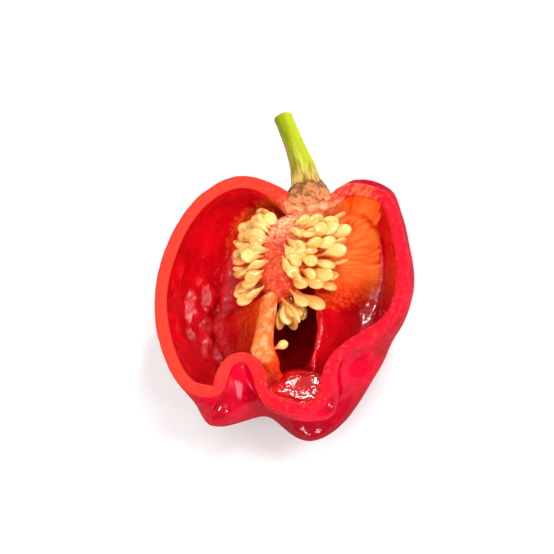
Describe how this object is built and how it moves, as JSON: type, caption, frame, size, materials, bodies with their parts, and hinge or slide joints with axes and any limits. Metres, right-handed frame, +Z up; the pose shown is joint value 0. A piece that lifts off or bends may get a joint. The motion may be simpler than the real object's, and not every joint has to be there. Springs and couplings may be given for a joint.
{
  "type": "habanero pepper half",
  "caption": "Lobed hot pepper cut lengthwise, lying on its back, with its hollow chambers, core of seeds and short cut stem.",
  "frame": {"origin": "middle of the small flat spot on the back of the skin that the half rests on", "axes": "+Y along the pepper from its tip towards the stem, +X to the right of the cut face seen from above with the stem up, +Z up, out of the cut face"},
  "size_m": [0.0559, 0.0725, 0.028],
  "materials": {
    "flesh": "glossy red skin, wet red and orange flesh",
    "seeds": "cream seeds on a spongy orange core",
    "stem": "satin green stem with a dry brown collar"
  },
  "bodies": {
    "root": {"fruit_wall": "flesh", "placenta_with_seeds": "seeds", "stem": "stem"}
  },
  "joints": []
}
